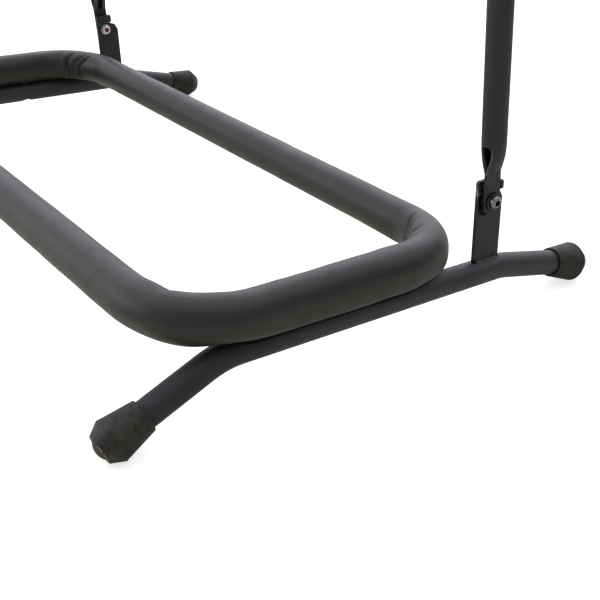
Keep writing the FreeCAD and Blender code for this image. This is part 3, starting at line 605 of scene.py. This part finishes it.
# ---------------------------------------------------------------------------
# Materials
# ---------------------------------------------------------------------------
class Maker:
    """A material with a Principled shader, and short words for the nodes that feed it."""

    def __init__(self, name):
        self.m = bpy.data.materials.new(name)
        self.m.use_nodes = True
        self.t = self.m.node_tree
        self.t.nodes.clear()
        self.out = self.t.nodes.new("ShaderNodeOutputMaterial")
        self.bsdf = self.t.nodes.new("ShaderNodeBsdfPrincipled")
        self.t.links.new(self.bsdf.outputs[0], self.out.inputs[0])
        self.coord = self.t.nodes.new("ShaderNodeTexCoord").outputs["Object"]

    def link(self, a, b):
        self.t.links.new(a, b)

    def set(self, **kw):
        for k, v in kw.items():
            self.bsdf.inputs[k.replace("_", " ")].default_value = v

    def stretch(self, x, y, z):
        n = self.t.nodes.new("ShaderNodeMapping")
        n.inputs["Scale"].default_value = (x, y, z)
        self.link(self.coord, n.inputs["Vector"])
        return n.outputs["Vector"]

    def noise(self, scale, detail=3.0, rough=0.55, vector=None, distort=0.0):
        n = self.t.nodes.new("ShaderNodeTexNoise")
        n.inputs["Scale"].default_value = scale
        n.inputs["Detail"].default_value = detail
        n.inputs["Roughness"].default_value = rough
        n.inputs["Distortion"].default_value = distort
        self.link(vector or self.coord, n.inputs["Vector"])
        return n.outputs["Fac"]

    def cells(self, scale, what="Distance", feature="F1", vector=None):
        n = self.t.nodes.new("ShaderNodeTexVoronoi")
        n.feature = feature
        n.inputs["Scale"].default_value = scale
        self.link(vector or self.coord, n.inputs["Vector"])
        return n.outputs[what]

    def ramp(self, fac, stops):
        n = self.t.nodes.new("ShaderNodeValToRGB")
        el = n.color_ramp.elements
        while len(el) < len(stops):
            el.new(0.5)
        for e, (p, c) in zip(el, stops):
            e.position = p
            e.color = (*c, 1) if isinstance(c, tuple) else (c, c, c, 1)
        self.link(fac, n.inputs["Fac"])
        return n.outputs["Color"]

    def mix(self, fac, a, b, how="MIX"):
        n = self.t.nodes.new("ShaderNodeMix")
        n.data_type = "RGBA"
        n.blend_type = how
        for sock, v in ((n.inputs[0], fac), (n.inputs[6], a), (n.inputs[7], b)):
            if isinstance(v, (int, float)):
                sock.default_value = v if sock.type == "VALUE" else (v, v, v, 1)
            elif isinstance(v, tuple):
                sock.default_value = (*v, 1)
            else:
                self.link(v, sock)
        return n.outputs[2]

    def math(self, op, a, b=None):
        n = self.t.nodes.new("ShaderNodeMath")
        n.operation = op
        for sock, v in zip(n.inputs, (a, b)):
            if v is None:
                continue
            if isinstance(v, (int, float)):
                sock.default_value = v
            else:
                self.link(v, sock)
        return n.outputs[0]

    def spread(self, fac, lo, hi):
        n = self.t.nodes.new("ShaderNodeMapRange")
        n.inputs["From Min"].default_value = 0.25
        n.inputs["From Max"].default_value = 0.75
        n.inputs["To Min"].default_value = lo
        n.inputs["To Max"].default_value = hi
        self.link(fac, n.inputs["Value"])
        return n.outputs["Result"]

    def near(self, point, reach):
        """1 at a point of the stand, falling to 0 at reach, in metres."""
        n = self.t.nodes.new("ShaderNodeVectorMath")
        n.operation = "DISTANCE"
        self.link(self.coord, n.inputs[0])
        n.inputs[1].default_value = point
        r = self.t.nodes.new("ShaderNodeMapRange")
        r.inputs["From Min"].default_value = reach
        r.inputs["From Max"].default_value = 0.0
        self.link(n.outputs["Value"], r.inputs["Value"])
        return r.outputs["Result"]

    def split(self):
        n = self.t.nodes.new("ShaderNodeSeparateXYZ")
        self.link(self.coord, n.inputs[0])
        return n.outputs["X"], n.outputs["Y"], n.outputs["Z"]

    def fall(self, value, lo, hi):
        """1 below lo, 0 above hi, smooth between."""
        n = self.t.nodes.new("ShaderNodeMapRange")
        n.interpolation_type = "SMOOTHSTEP"
        n.inputs["From Min"].default_value = lo
        n.inputs["From Max"].default_value = hi
        n.inputs["To Min"].default_value = 1.0
        n.inputs["To Max"].default_value = 0.0
        self.link(value, n.inputs["Value"])
        return n.outputs["Result"]

    def root_sum(self, *terms):
        total = None
        for v in terms:
            q = self.math("MULTIPLY", v, v)
            total = q if total is None else self.math("ADD", total, q)
        return self.math("SQRT", total)

    def eased(self, radius):
        """Normal that is rounded at the edges of a piece."""
        n = self.t.nodes.new("ShaderNodeBevel")
        n.samples = 6
        n.inputs["Radius"].default_value = radius
        return n.outputs["Normal"]

    def bump(self, *layers, normal=None):
        for height, strength, distance in layers:
            n = self.t.nodes.new("ShaderNodeBump")
            n.inputs["Strength"].default_value = strength
            n.inputs["Distance"].default_value = distance
            self.link(height, n.inputs["Height"])
            if normal is not None:
                self.link(normal, n.inputs["Normal"])
            normal = n.outputs["Normal"]
        self.link(normal, self.bsdf.inputs["Normal"])

    def colour(self, c):
        self.link(c, self.bsdf.inputs["Base Color"])

    def roughness(self, r):
        self.link(r, self.bsdf.inputs["Roughness"])


def foam_material():
    k = Maker("charcoal_foam")
    slow = k.noise(11, 4, 0.6)
    grain = k.noise(650, 3, 0.6)
    base = k.ramp(slow, [(0.30, (0.0084, 0.0079, 0.0075)), (0.70, (0.0136, 0.0129, 0.0122))])
    base = k.mix(k.spread(grain, 0.0, 0.6), base, (0.0196, 0.0186, 0.0172))
    pick = k.math("GREATER_THAN", k.noise(70, 1, 0.4), 0.72)
    dot = k.math("LESS_THAN", k.cells(240), 0.07)
    base = k.mix(k.math("MULTIPLY", pick, dot), base, (0.09, 0.087, 0.082))
    k.colour(base)
    k.roughness(k.spread(k.noise(38, 3), 0.42, 0.52))
    k.set(Specular_IOR_Level=0.30)
    k.bump((k.noise(230, 2, 0.5), 0.06, 0.0006), (k.cells(1500), 0.10, 0.00030), (k.noise(3200, 2), 0.12, 0.00012))
    return k.m


def steel_material():
    k = Maker("black_powder_coat")
    slow = k.noise(16, 3, 0.5)
    base = k.ramp(slow, [(0.3, (0.0068, 0.0069, 0.0082)), (0.7, (0.0100, 0.0101, 0.0118))])
    grain = k.noise(1500, 2, 0.5)
    base = k.mix(k.spread(grain, 0.0, 0.8), base, (0.0160, 0.0161, 0.0182))
    # painted shade on the plate's outer face, behind the tab and just round it, where the gap under the tab lies in
    # shadow
    x, y, z = k.split()
    dy, dz = k.math("SUBTRACT", y, PIVOT_Y * MM), k.math("SUBTRACT", z, PIVOT_Z * MM)
    c, t = math.cos(LEAN), math.sin(LEAN)
    across = k.math("ADD", k.math("MULTIPLY", dy, c), k.math("MULTIPLY", dz, t))
    along = k.math("SUBTRACT", k.math("MULTIPLY", dz, c), k.math("MULTIPLY", dy, t))
    below = k.math("MINIMUM", along, 0.0)
    side = k.math("ABSOLUTE", x)
    face = k.math("MULTIPLY", k.math("GREATER_THAN", side, 0.3443), k.math("LESS_THAN", side, 0.34485))
    painted_shade = k.math("MULTIPLY", k.fall(k.math("ABSOLUTE", across), 0.0084, 0.0096),
                    k.fall(k.root_sum(across, below), 0.0136, 0.0150))
    painted_shade = k.math("MULTIPLY", painted_shade, face)
    # painted shade over the face of the stop lug beside the tab
    lug = k.math("MULTIPLY", k.fall(across, 0.0140, 0.0156), k.math("SUBTRACT", 1.0, k.fall(across, 0.0084, 0.0092)))
    lug = k.math("MULTIPLY", k.math("MULTIPLY", lug, face), k.math("GREATER_THAN", along, -0.004))
    painted_shade = k.math("MAXIMUM", painted_shade, lug)
    # painted shade: a dark ring on the tab's outer face round the washer under the bolt's head
    off = k.root_sum(dy, dz)
    ring = k.math("MULTIPLY", k.math("MULTIPLY", k.fall(off, 0.0074, 0.0080), k.math("SUBTRACT", 1.0, k.fall(off, 0.0066, 0.0070))),
                  k.math("MULTIPLY", k.math("GREATER_THAN", side, 0.35075), k.math("LESS_THAN", side, 0.3520)))
    painted_shade = k.math("MAXIMUM", painted_shade, ring)
    # painted shade: dark spots at the plate's lower corners, where the welds stop
    for corner in PLATE_FEET:
        dx = k.math("SUBTRACT", side, corner[0])
        gap = k.root_sum(dx, k.math("SUBTRACT", y, corner[1]), k.math("SUBTRACT", z, corner[2]))
        painted_shade = k.math("MAXIMUM", painted_shade, k.fall(gap, 0.0011, 0.0023))
    # painted shade on the foot tube, in the gap under the edge of the sleeve
    py, pz = k.math("SUBTRACT", y, Y_FRONT * MM), k.math("SUBTRACT", z, Z_FRONT * MM)
    c, t = math.cos(LOOP_TILT), math.sin(LOOP_TILT)
    run = k.math("SUBTRACT", k.math("MULTIPLY", py, c), k.math("MULTIPLY", pz, t))
    high = k.math("ADD", k.math("ADD", k.math("MULTIPLY", pz, c), k.math("MULTIPLY", py, t)), FOOT_DROP * MM)
    past = k.math("MAXIMUM", k.math("MAXIMUM", k.math("SUBTRACT", run, 0.206), k.math("SUBTRACT", 0.064, run)), 0.0)
    level = k.math("SUBTRACT", high, k.math("MULTIPLY", past, 0.13))
    gap = k.math("MULTIPLY", k.math("SUBTRACT", 0.8, k.math("MULTIPLY", k.fall(level, 0.0059, 0.0072), 0.8)),
                 k.math("LESS_THAN", high, 0.0112))
    gap = k.math("MULTIPLY", gap, k.math("MULTIPLY", k.math("GREATER_THAN", side, FOOT_X * MM),
                                         k.math("LESS_THAN", side, (FOOT_X + FOOT_R + 0.2) * MM)))
    gap = k.math("MULTIPLY", gap, k.math("MULTIPLY", k.math("GREATER_THAN", run, 0.035), k.math("LESS_THAN", run, 0.238)))
    painted_shade = k.math("MAXIMUM", painted_shade, gap)
    # the foot tubes' coat is a little glossier towards the rear
    on_foot = k.math("MULTIPLY", k.math("LESS_THAN", high, 0.0113), k.math("SUBTRACT", 1.0, k.fall(run, 0.05, 0.14)))
    # the painted shade darkens the coat almost to black, and takes most of its reflection away
    base = k.mix(painted_shade, base, (0.0012, 0.0012, 0.0012))
    # rubs and chips by the pivot
    streak = k.noise(420, 4, 0.7, k.stretch(1.0, 1.0, 0.40))
    rub = k.math("MULTIPLY", k.math("GREATER_THAN", streak, 0.53), k.near((0.3447, 0.1034, 0.1165), 0.0080))
    rub = k.math("MULTIPLY", rub, k.math("LESS_THAN", k.math("ABSOLUTE", k.split()[0]), 0.34489))
    base = k.mix(rub, base, (0.24, 0.24, 0.24))
    k.colour(base)
    k.roughness(k.spread(k.noise(60, 3), 0.52, 0.62))
    gloss = k.math("ADD", k.math("MULTIPLY", on_foot, 0.55), 1.0)
    k.link(k.math("MULTIPLY", k.ramp(painted_shade, [(0.0, 0.30), (1.0, 0.04)]), gloss), k.bsdf.inputs["Specular IOR Level"])
    k.bump((k.noise(900, 2, 0.5), 0.10, 0.0004), (k.noise(3600, 2), 0.14, 0.00012), normal=k.eased(0.0007))
    return k.m


def edge_material():
    """Cut edges of the pressed tube: the coat is thin there, and their paler tone is partly a painted highlight on the
    rounded rim.
    """
    k = Maker("thin_coat_edge_and_highlight")
    base = k.ramp(k.noise(700, 3, 0.6), [(0.3, (0.036, 0.036, 0.037)), (0.7, (0.070, 0.070, 0.070))])
    k.colour(base)
    k.roughness(k.spread(k.noise(300, 2), 0.34, 0.48))
    k.set(Specular_IOR_Level=0.45)
    k.bump((k.noise(1400, 2), 0.10, 0.0002))
    return k.m


def weld_material():
    """Weld beads under a thin coat; their paler colour is a painted highlight."""
    k = Maker("coated_weld")
    base = k.ramp(k.noise(420, 3, 0.6), [(0.3, (0.016, 0.016, 0.017)), (0.7, (0.040, 0.040, 0.041))])
    k.colour(base)
    k.roughness(k.spread(k.noise(300, 2), 0.38, 0.52))
    k.set(Specular_IOR_Level=0.42)
    k.bump((k.noise(700, 3), 0.20, 0.0004))
    return k.m


def inside_material():
    """Inside of the tube: dusty bare steel, with painted shade deep in the pressed middle."""
    k = Maker("bare_tube_inside")
    base = k.ramp(k.noise(240, 4, 0.6), [(0.3, (0.040, 0.040, 0.043)), (0.7, (0.075, 0.074, 0.073))])
    x, y, z = k.split()
    dy, dz = k.math("SUBTRACT", y, PIVOT_Y * MM), k.math("SUBTRACT", z, PIVOT_Z * MM)
    across = k.math("ADD", k.math("MULTIPLY", dy, math.cos(LEAN)), k.math("MULTIPLY", dz, math.sin(LEAN)))
    # painted shade: near black, with little reflection, deep in the middle of the pressed end
    deep = k.fall(k.math("ABSOLUTE", across), 0.0020, 0.0050)
    base = k.mix(deep, base, (0.0012, 0.0012, 0.0013))
    k.colour(base)
    k.roughness(k.spread(k.noise(200, 2), 0.55, 0.75))
    k.link(k.ramp(deep, [(0.0, 0.30), (1.0, 0.03)]), k.bsdf.inputs["Specular IOR Level"])
    k.bump((k.noise(800, 2), 0.15, 0.0003))
    return k.m


def rubber_material(name, dark, light, tint, rings=()):
    k = Maker(name)
    blotch = k.noise(95, 5, 0.68, distort=0.6)
    base = k.ramp(blotch, [(0.32, dark), (0.50, light), (0.66, tint)])
    fine = k.noise(520, 4, 0.7)
    base = k.mix(k.spread(fine, 0.0, 0.6), base, dark)
    x, y, z = k.split()
    for c, d, ring_r, dome_r in rings:
        dx = k.math("SUBTRACT", k.math("ABSOLUTE", x), c[0])
        dy, dz = k.math("SUBTRACT", y, c[1]), k.math("SUBTRACT", z, c[2])
        along = k.math("ADD", k.math("MULTIPLY", dy, d[1]), k.math("MULTIPLY", dz, d[2]))
        up = k.math("SUBTRACT", k.math("MULTIPLY", dz, d[1]), k.math("MULTIPLY", dy, d[2]))
        out = k.root_sum(dx, up)
        # brown, scuffed tread in the middle of the end
        tread = k.math("MULTIPLY", k.fall(out, dome_r - 0.0002, dome_r + 0.0002), k.fall(k.math("MULTIPLY", along, -1.0), 0.0002, 0.0006))
        base = k.mix(tread, base, (0.030, 0.026, 0.015))
        # worn edge of the end face
        edge = k.fall(k.root_sum(along, k.math("SUBTRACT", out, ring_r)), 0.0004, 0.0010)
        edge = k.math("MULTIPLY", edge, k.math("GREATER_THAN", k.noise(260, 3, 0.6), 0.47))
        base = k.mix(edge, base, (0.16, 0.155, 0.12))
    k.colour(base)
    k.roughness(k.spread(k.noise(140, 3), 0.50, 0.72))
    k.set(Specular_IOR_Level=0.28)
    k.bump((k.noise(160, 3, 0.6), 0.16, 0.0010), (k.noise(800, 3, 0.6), 0.22, 0.0003))
    return k.m


def bolt_material():
    k = Maker("bright_bolt_steel")
    turned = k.noise(240, 4, 0.6, k.stretch(1.0, 0.3, 0.3))
    base = k.ramp(turned, [(0.3, (0.11, 0.108, 0.112)), (0.7, (0.31, 0.304, 0.312))])
    spots = k.noise(520, 3, 0.7)
    base = k.mix(k.spread(spots, 0.0, 0.6), base, (0.070, 0.060, 0.056))
    # grease and rust in the socket
    x, y, z = k.split()
    off = k.root_sum(k.math("SUBTRACT", y, PIVOT_Y * MM), k.math("SUBTRACT", z, PIVOT_Z * MM))
    inside = k.math("MULTIPLY", k.math("LESS_THAN", off, 0.00296), k.math("LESS_THAN", k.math("ABSOLUTE", x), 0.35666))
    base = k.mix(inside, base, (0.085, 0.026, 0.020))
    k.colour(base)
    k.roughness(k.spread(k.noise(500, 3), 0.22, 0.36))
    k.set(Metallic=1.0)
    k.bump((k.noise(1600, 2), 0.10, 0.0001))
    return k.m


def zinc_material():
    k = Maker("zinc_plate")
    flake = k.cells(420, "Distance")
    base = k.ramp(flake, [(0.1, (0.46, 0.47, 0.49)), (0.8, (0.62, 0.63, 0.64))])
    k.colour(base)
    k.roughness(k.spread(k.noise(300, 3), 0.28, 0.45))
    k.set(Metallic=1.0)
    k.bump((k.noise(1100, 2), 0.08, 0.0001))
    return k.m


def nylon_material():
    k = Maker("black_nylon")
    base = k.ramp(k.noise(260, 4, 0.6), [(0.3, (0.0020, 0.0020, 0.0022)), (0.7, (0.0050, 0.0050, 0.0052))])
    # the washer under the bolt's head is rubbed paler on its face; next to the head it stays black, a painted shade
    x, y, z = k.split()
    off = k.root_sum(k.math("SUBTRACT", y, PIVOT_Y * MM), k.math("SUBTRACT", z, PIVOT_Z * MM))
    pale = k.math("MULTIPLY", k.math("SUBTRACT", 1.0, k.fall(off, 0.0057, 0.0060)), k.math("GREATER_THAN", k.math("ABSOLUTE", x), 0.3520))
    base = k.mix(pale, base, (0.024, 0.0235, 0.023))
    k.colour(base)
    k.roughness(k.spread(k.noise(400, 3), 0.42, 0.60))
    k.link(k.ramp(pale, [(0.0, 0.14), (1.0, 0.34)]), k.bsdf.inputs["Specular IOR Level"])
    k.bump((k.noise(1200, 2), 0.12, 0.00015))
    return k.m


# lower corners of the plates' outer faces, where the welds stop
PLATE_FEET = [to_stand([FOOT_X + PLATE_HALF, y, foot_top(PLATE_HALF, y) + 0.5]) for y in (PLATE_Y0 + 0.7, PLATE_Y1 - 0.4)]
FOAM = foam_material()
STEEL = steel_material()
# ends of the caps: middle of the end face, direction of the leg, radius of the worn edge, radius of the tread
CAP_ENDS = []
for bend, slope, leg, way in ((39.1, 24.30, 96.2, -1), (318.2, 11.84, 96.0, 1)):
    a = math.radians(slope)
    d = np.array([0.0, way * math.cos(a), -math.sin(a)])
    end = np.array([FOOT_X, bend, -FOOT_DROP]) + d * (leg + 10.4)
    at = to_stand(end)
    CAP_ENDS.append((at, (to_stand(end + d) - at) / MM, 0.0112, 0.0083))
CAPS = rubber_material("mottled_rubber", (0.0062, 0.0059, 0.0048), (0.0170, 0.0164, 0.0125), (0.0390, 0.0365, 0.0225), CAP_ENDS)
TIPS = rubber_material("black_tip_rubber", (0.0060, 0.0060, 0.0060), (0.0100, 0.0100, 0.0100), (0.0160, 0.0158, 0.0150))
BOLT = bolt_material()
ZINC = zinc_material()
NYLON = nylon_material()
EDGE = edge_material()
INSIDE = inside_material()


def paint(ob, material):
    ob.data.materials.clear()
    ob.data.materials.append(material)


for ob in foams:
    paint(ob, FOAM)
for ob in welds:
    paint(ob, weld_material())
paint(upper, STEEL)
upper.data.materials.append(EDGE)
upper.data.materials.append(INSIDE)
for f in upper.data.polygons:
    q = np.array(f.center) / MM
    q[0] = abs(q[0])
    q = q - np.array([TAB_X, PIVOT_Y, PIVOT_Z])
    up_by, across = float(q @ UP), float(q @ ACROSS)
    # rims and cut edges take the paler edge material, partly a painted highlight
    if f.index >= upper_plain:
        f.material_index = 1
    elif 24.5 < up_by < 42 and abs(abs(across) - float(trim(up_by))) < 0.06 and abs(float(np.array(f.normal) @ ACROSS)) > 0.9:
        f.material_index = 1
    elif 25 < up_by < 125 and float(np.array(f.normal) @ (q - up_by * UP)) < 0 and np.hypot(q[0], across) < FRAME_R - 0.4:
        f.material_index = 2

FINISH = {"foot_cap": CAPS, "neck_divider_tip": TIPS, "pivot_bolt": BOLT, "pivot_head_washers": NYLON,
          "pivot_friction_washers": NYLON, "foot_tube": STEEL, "pivot_bracket": STEEL, "upper_frame_tube": STEEL,
          "neck_divider_rod": STEEL, "loop_tube": STEEL, "loop_spacers": STEEL, "loop_foam": FOAM, "neck_bar_foam": FOAM,
          "neck_divider_foam": FOAM}
for name, ob in nodes.items():
    found = [m for key, m in FINISH.items() if name.startswith(key)]
    paint(ob, found[0] if found else ZINC)


# ---------------------------------------------------------------------------
# Even shading on the metal and rubber pieces: round faces run together, edges stay crisp
# ---------------------------------------------------------------------------
def shading_group(angle):
    g = bpy.data.node_groups.new("round_faces", "GeometryNodeTree")
    g.interface.new_socket("Geometry", in_out="INPUT", socket_type="NodeSocketGeometry")
    g.interface.new_socket("Geometry", in_out="OUTPUT", socket_type="NodeSocketGeometry")
    gin, gout = g.nodes.new("NodeGroupInput"), g.nodes.new("NodeGroupOutput")
    weld_points = g.nodes.new("GeometryNodeMergeByDistance")
    weld_points.inputs["Distance"].default_value = 2e-6
    edge = g.nodes.new("GeometryNodeInputMeshEdgeAngle")
    small = g.nodes.new("FunctionNodeCompare")
    small.data_type, small.operation = "FLOAT", "LESS_EQUAL"
    small.inputs[1].default_value = math.radians(angle)
    g.links.new(edge.outputs["Unsigned Angle"], small.inputs[0])
    faces = g.nodes.new("GeometryNodeSetShadeSmooth")
    faces.domain = "FACE"
    edges = g.nodes.new("GeometryNodeSetShadeSmooth")
    edges.domain = "EDGE"
    g.links.new(gin.outputs[0], weld_points.inputs["Geometry"])
    g.links.new(weld_points.outputs["Geometry"], faces.inputs["Geometry"])
    g.links.new(faces.outputs["Geometry"], edges.inputs["Geometry"])
    g.links.new(small.outputs[0], edges.inputs["Shade Smooth"])
    g.links.new(edges.outputs["Geometry"], gout.inputs[0])
    return g


ROUND = shading_group(28.0)
for name, ob in nodes.items():
    if ob.hide_render:
        continue
    me = ob.data
    if "custom_normal" in me.attributes:
        me.attributes.remove(me.attributes["custom_normal"])
    mod = ob.modifiers.new("round_faces", "NODES")
    mod.node_group = ROUND


# ---------------------------------------------------------------------------
# Floor, light and camera
# ---------------------------------------------------------------------------
def floor():
    me = bpy.data.meshes.new("floor")
    h = 14.0
    me.from_pydata([(-h, -h, 0), (h, -h, 0), (h, h, 0), (-h, h, 0)], [], [(0, 1, 2, 3)])
    ob = bpy.data.objects.new("floor", me)
    bpy.context.scene.collection.objects.link(ob)
    k = Maker("pale_floor")
    k.colour(k.ramp(k.noise(3.0, 3), [(0.3, (0.490, 0.480, 0.465)), (0.7, (0.505, 0.495, 0.480))]))
    k.roughness(k.spread(k.noise(20, 2), 0.75, 0.85))
    k.set(Specular_IOR_Level=0.1, Emission_Color=(1, 1, 1, 1), Emission_Strength=0.70)
    # the floor throws only part of its light back on to the stand
    dim = k.t.nodes.new("ShaderNodeBsdfDiffuse")
    dim.inputs["Color"].default_value = (0.73, 0.695, 0.575, 1)
    seen = k.t.nodes.new("ShaderNodeLightPath").outputs["Is Camera Ray"]
    both = k.t.nodes.new("ShaderNodeMixShader")
    k.link(seen, both.inputs[0])
    k.link(dim.outputs[0], both.inputs[1])
    k.link(k.bsdf.outputs[0], both.inputs[2])
    k.link(both.outputs[0], k.out.inputs[0])
    paint(ob, k.m)


def area(name, at, to, size, watts, colour):
    la = bpy.data.lights.new(name, "AREA")
    la.shape = "RECTANGLE"
    la.size, la.size_y = size
    la.energy = watts
    la.color = colour
    ob = bpy.data.objects.new(name, la)
    bpy.context.scene.collection.objects.link(ob)
    ob.location = at
    ob.rotation_euler = (Vector(to) - Vector(at)).to_track_quat("-Z", "Y").to_euler()
    return ob


floor()
area("front_left", (-1.5, -2.5, 1.3), (0.1, -0.1, 0.10), (2.4, 1.6), 36, (1.0, 0.985, 0.965))

# studio surround: a wide bright ceiling, a softer front left, a dim right and back
world = bpy.data.worlds.new("studio")
bpy.context.scene.world = world
world.use_nodes = True
wt = world.node_tree
bg = wt.nodes["Background"]


def wide(direction, lo, hi, gain):
    dot = wt.nodes.new("ShaderNodeVectorMath")
    dot.operation = "DOT_PRODUCT"
    wt.links.new(ray, dot.inputs[0])
    dot.inputs[1].default_value = Vector(direction).normalized()
    m = wt.nodes.new("ShaderNodeMapRange")
    m.interpolation_type = "SMOOTHSTEP"
    m.inputs["From Min"].default_value = lo
    m.inputs["From Max"].default_value = hi
    m.inputs["To Max"].default_value = gain
    wt.links.new(dot.outputs["Value"], m.inputs["Value"])
    return m.outputs["Result"]


def plus(a, b):
    n = wt.nodes.new("ShaderNodeMath")
    n.operation = "ADD"
    for sock, v in zip(n.inputs, (a, b)):
        if isinstance(v, float):
            sock.default_value = v
        else:
            wt.links.new(v, sock)
    return n.outputs[0]


ray = wt.nodes.new("ShaderNodeTexCoord").outputs["Generated"]
glow = plus(wide((-0.25, 0.35, 1.0), 0.45, 0.90, 1.85), wide((-0.75, -0.8, 0.40), 0.55, 0.95, 0.9))
glow = plus(glow, wide((0.85, -0.50, 0.20), 0.35, 0.95, 0.40))
glow = plus(plus(glow, wide((-0.80, 0.58, 0.06), 0.50, 0.95, 1.5)), 0.20)
wt.links.new(glow, bg.inputs["Strength"])
bg.inputs["Color"].default_value = (0.955, 0.960, 1.045, 1)
# seen directly, the surround is plain white
white = wt.nodes.new("ShaderNodeBackground")
white.inputs["Color"].default_value = (1, 1, 1, 1)
white.inputs["Strength"].default_value = 1.05
either = wt.nodes.new("ShaderNodeMixShader")
wt.links.new(wt.nodes.new("ShaderNodeLightPath").outputs["Is Camera Ray"], either.inputs[0])
wt.links.new(bg.outputs[0], either.inputs[1])
wt.links.new(white.outputs[0], either.inputs[2])
wt.links.new(either.outputs[0], wt.nodes["World Output"].inputs["Surface"])

cam_data = bpy.data.cameras.new("camera")
cam = bpy.data.objects.new("camera", cam_data)
bpy.context.scene.collection.objects.link(cam)
cam_data.sensor_width = 36.0
cam_data.lens = 60.29
cam_data.clip_start, cam_data.clip_end = 0.02, 100.0
right = Vector((0.587387, 0.809306, 0.000218))
down = Vector((0.390843, -0.283434, -0.875732))
forward = Vector((-0.708674, 0.514479, -0.482797))
cam.matrix_world = Matrix(((right.x, -down.x, -forward.x, 0.864029),
                           (right.y, -down.y, -forward.y, -0.450618),
                           (right.z, -down.z, -forward.z, 0.428511),
                           (0, 0, 0, 1)))
scene = bpy.context.scene
scene.camera = cam
scene.view_settings.view_transform = "Standard"
scene.view_settings.look = "None"

bpy.context.view_layer.update()
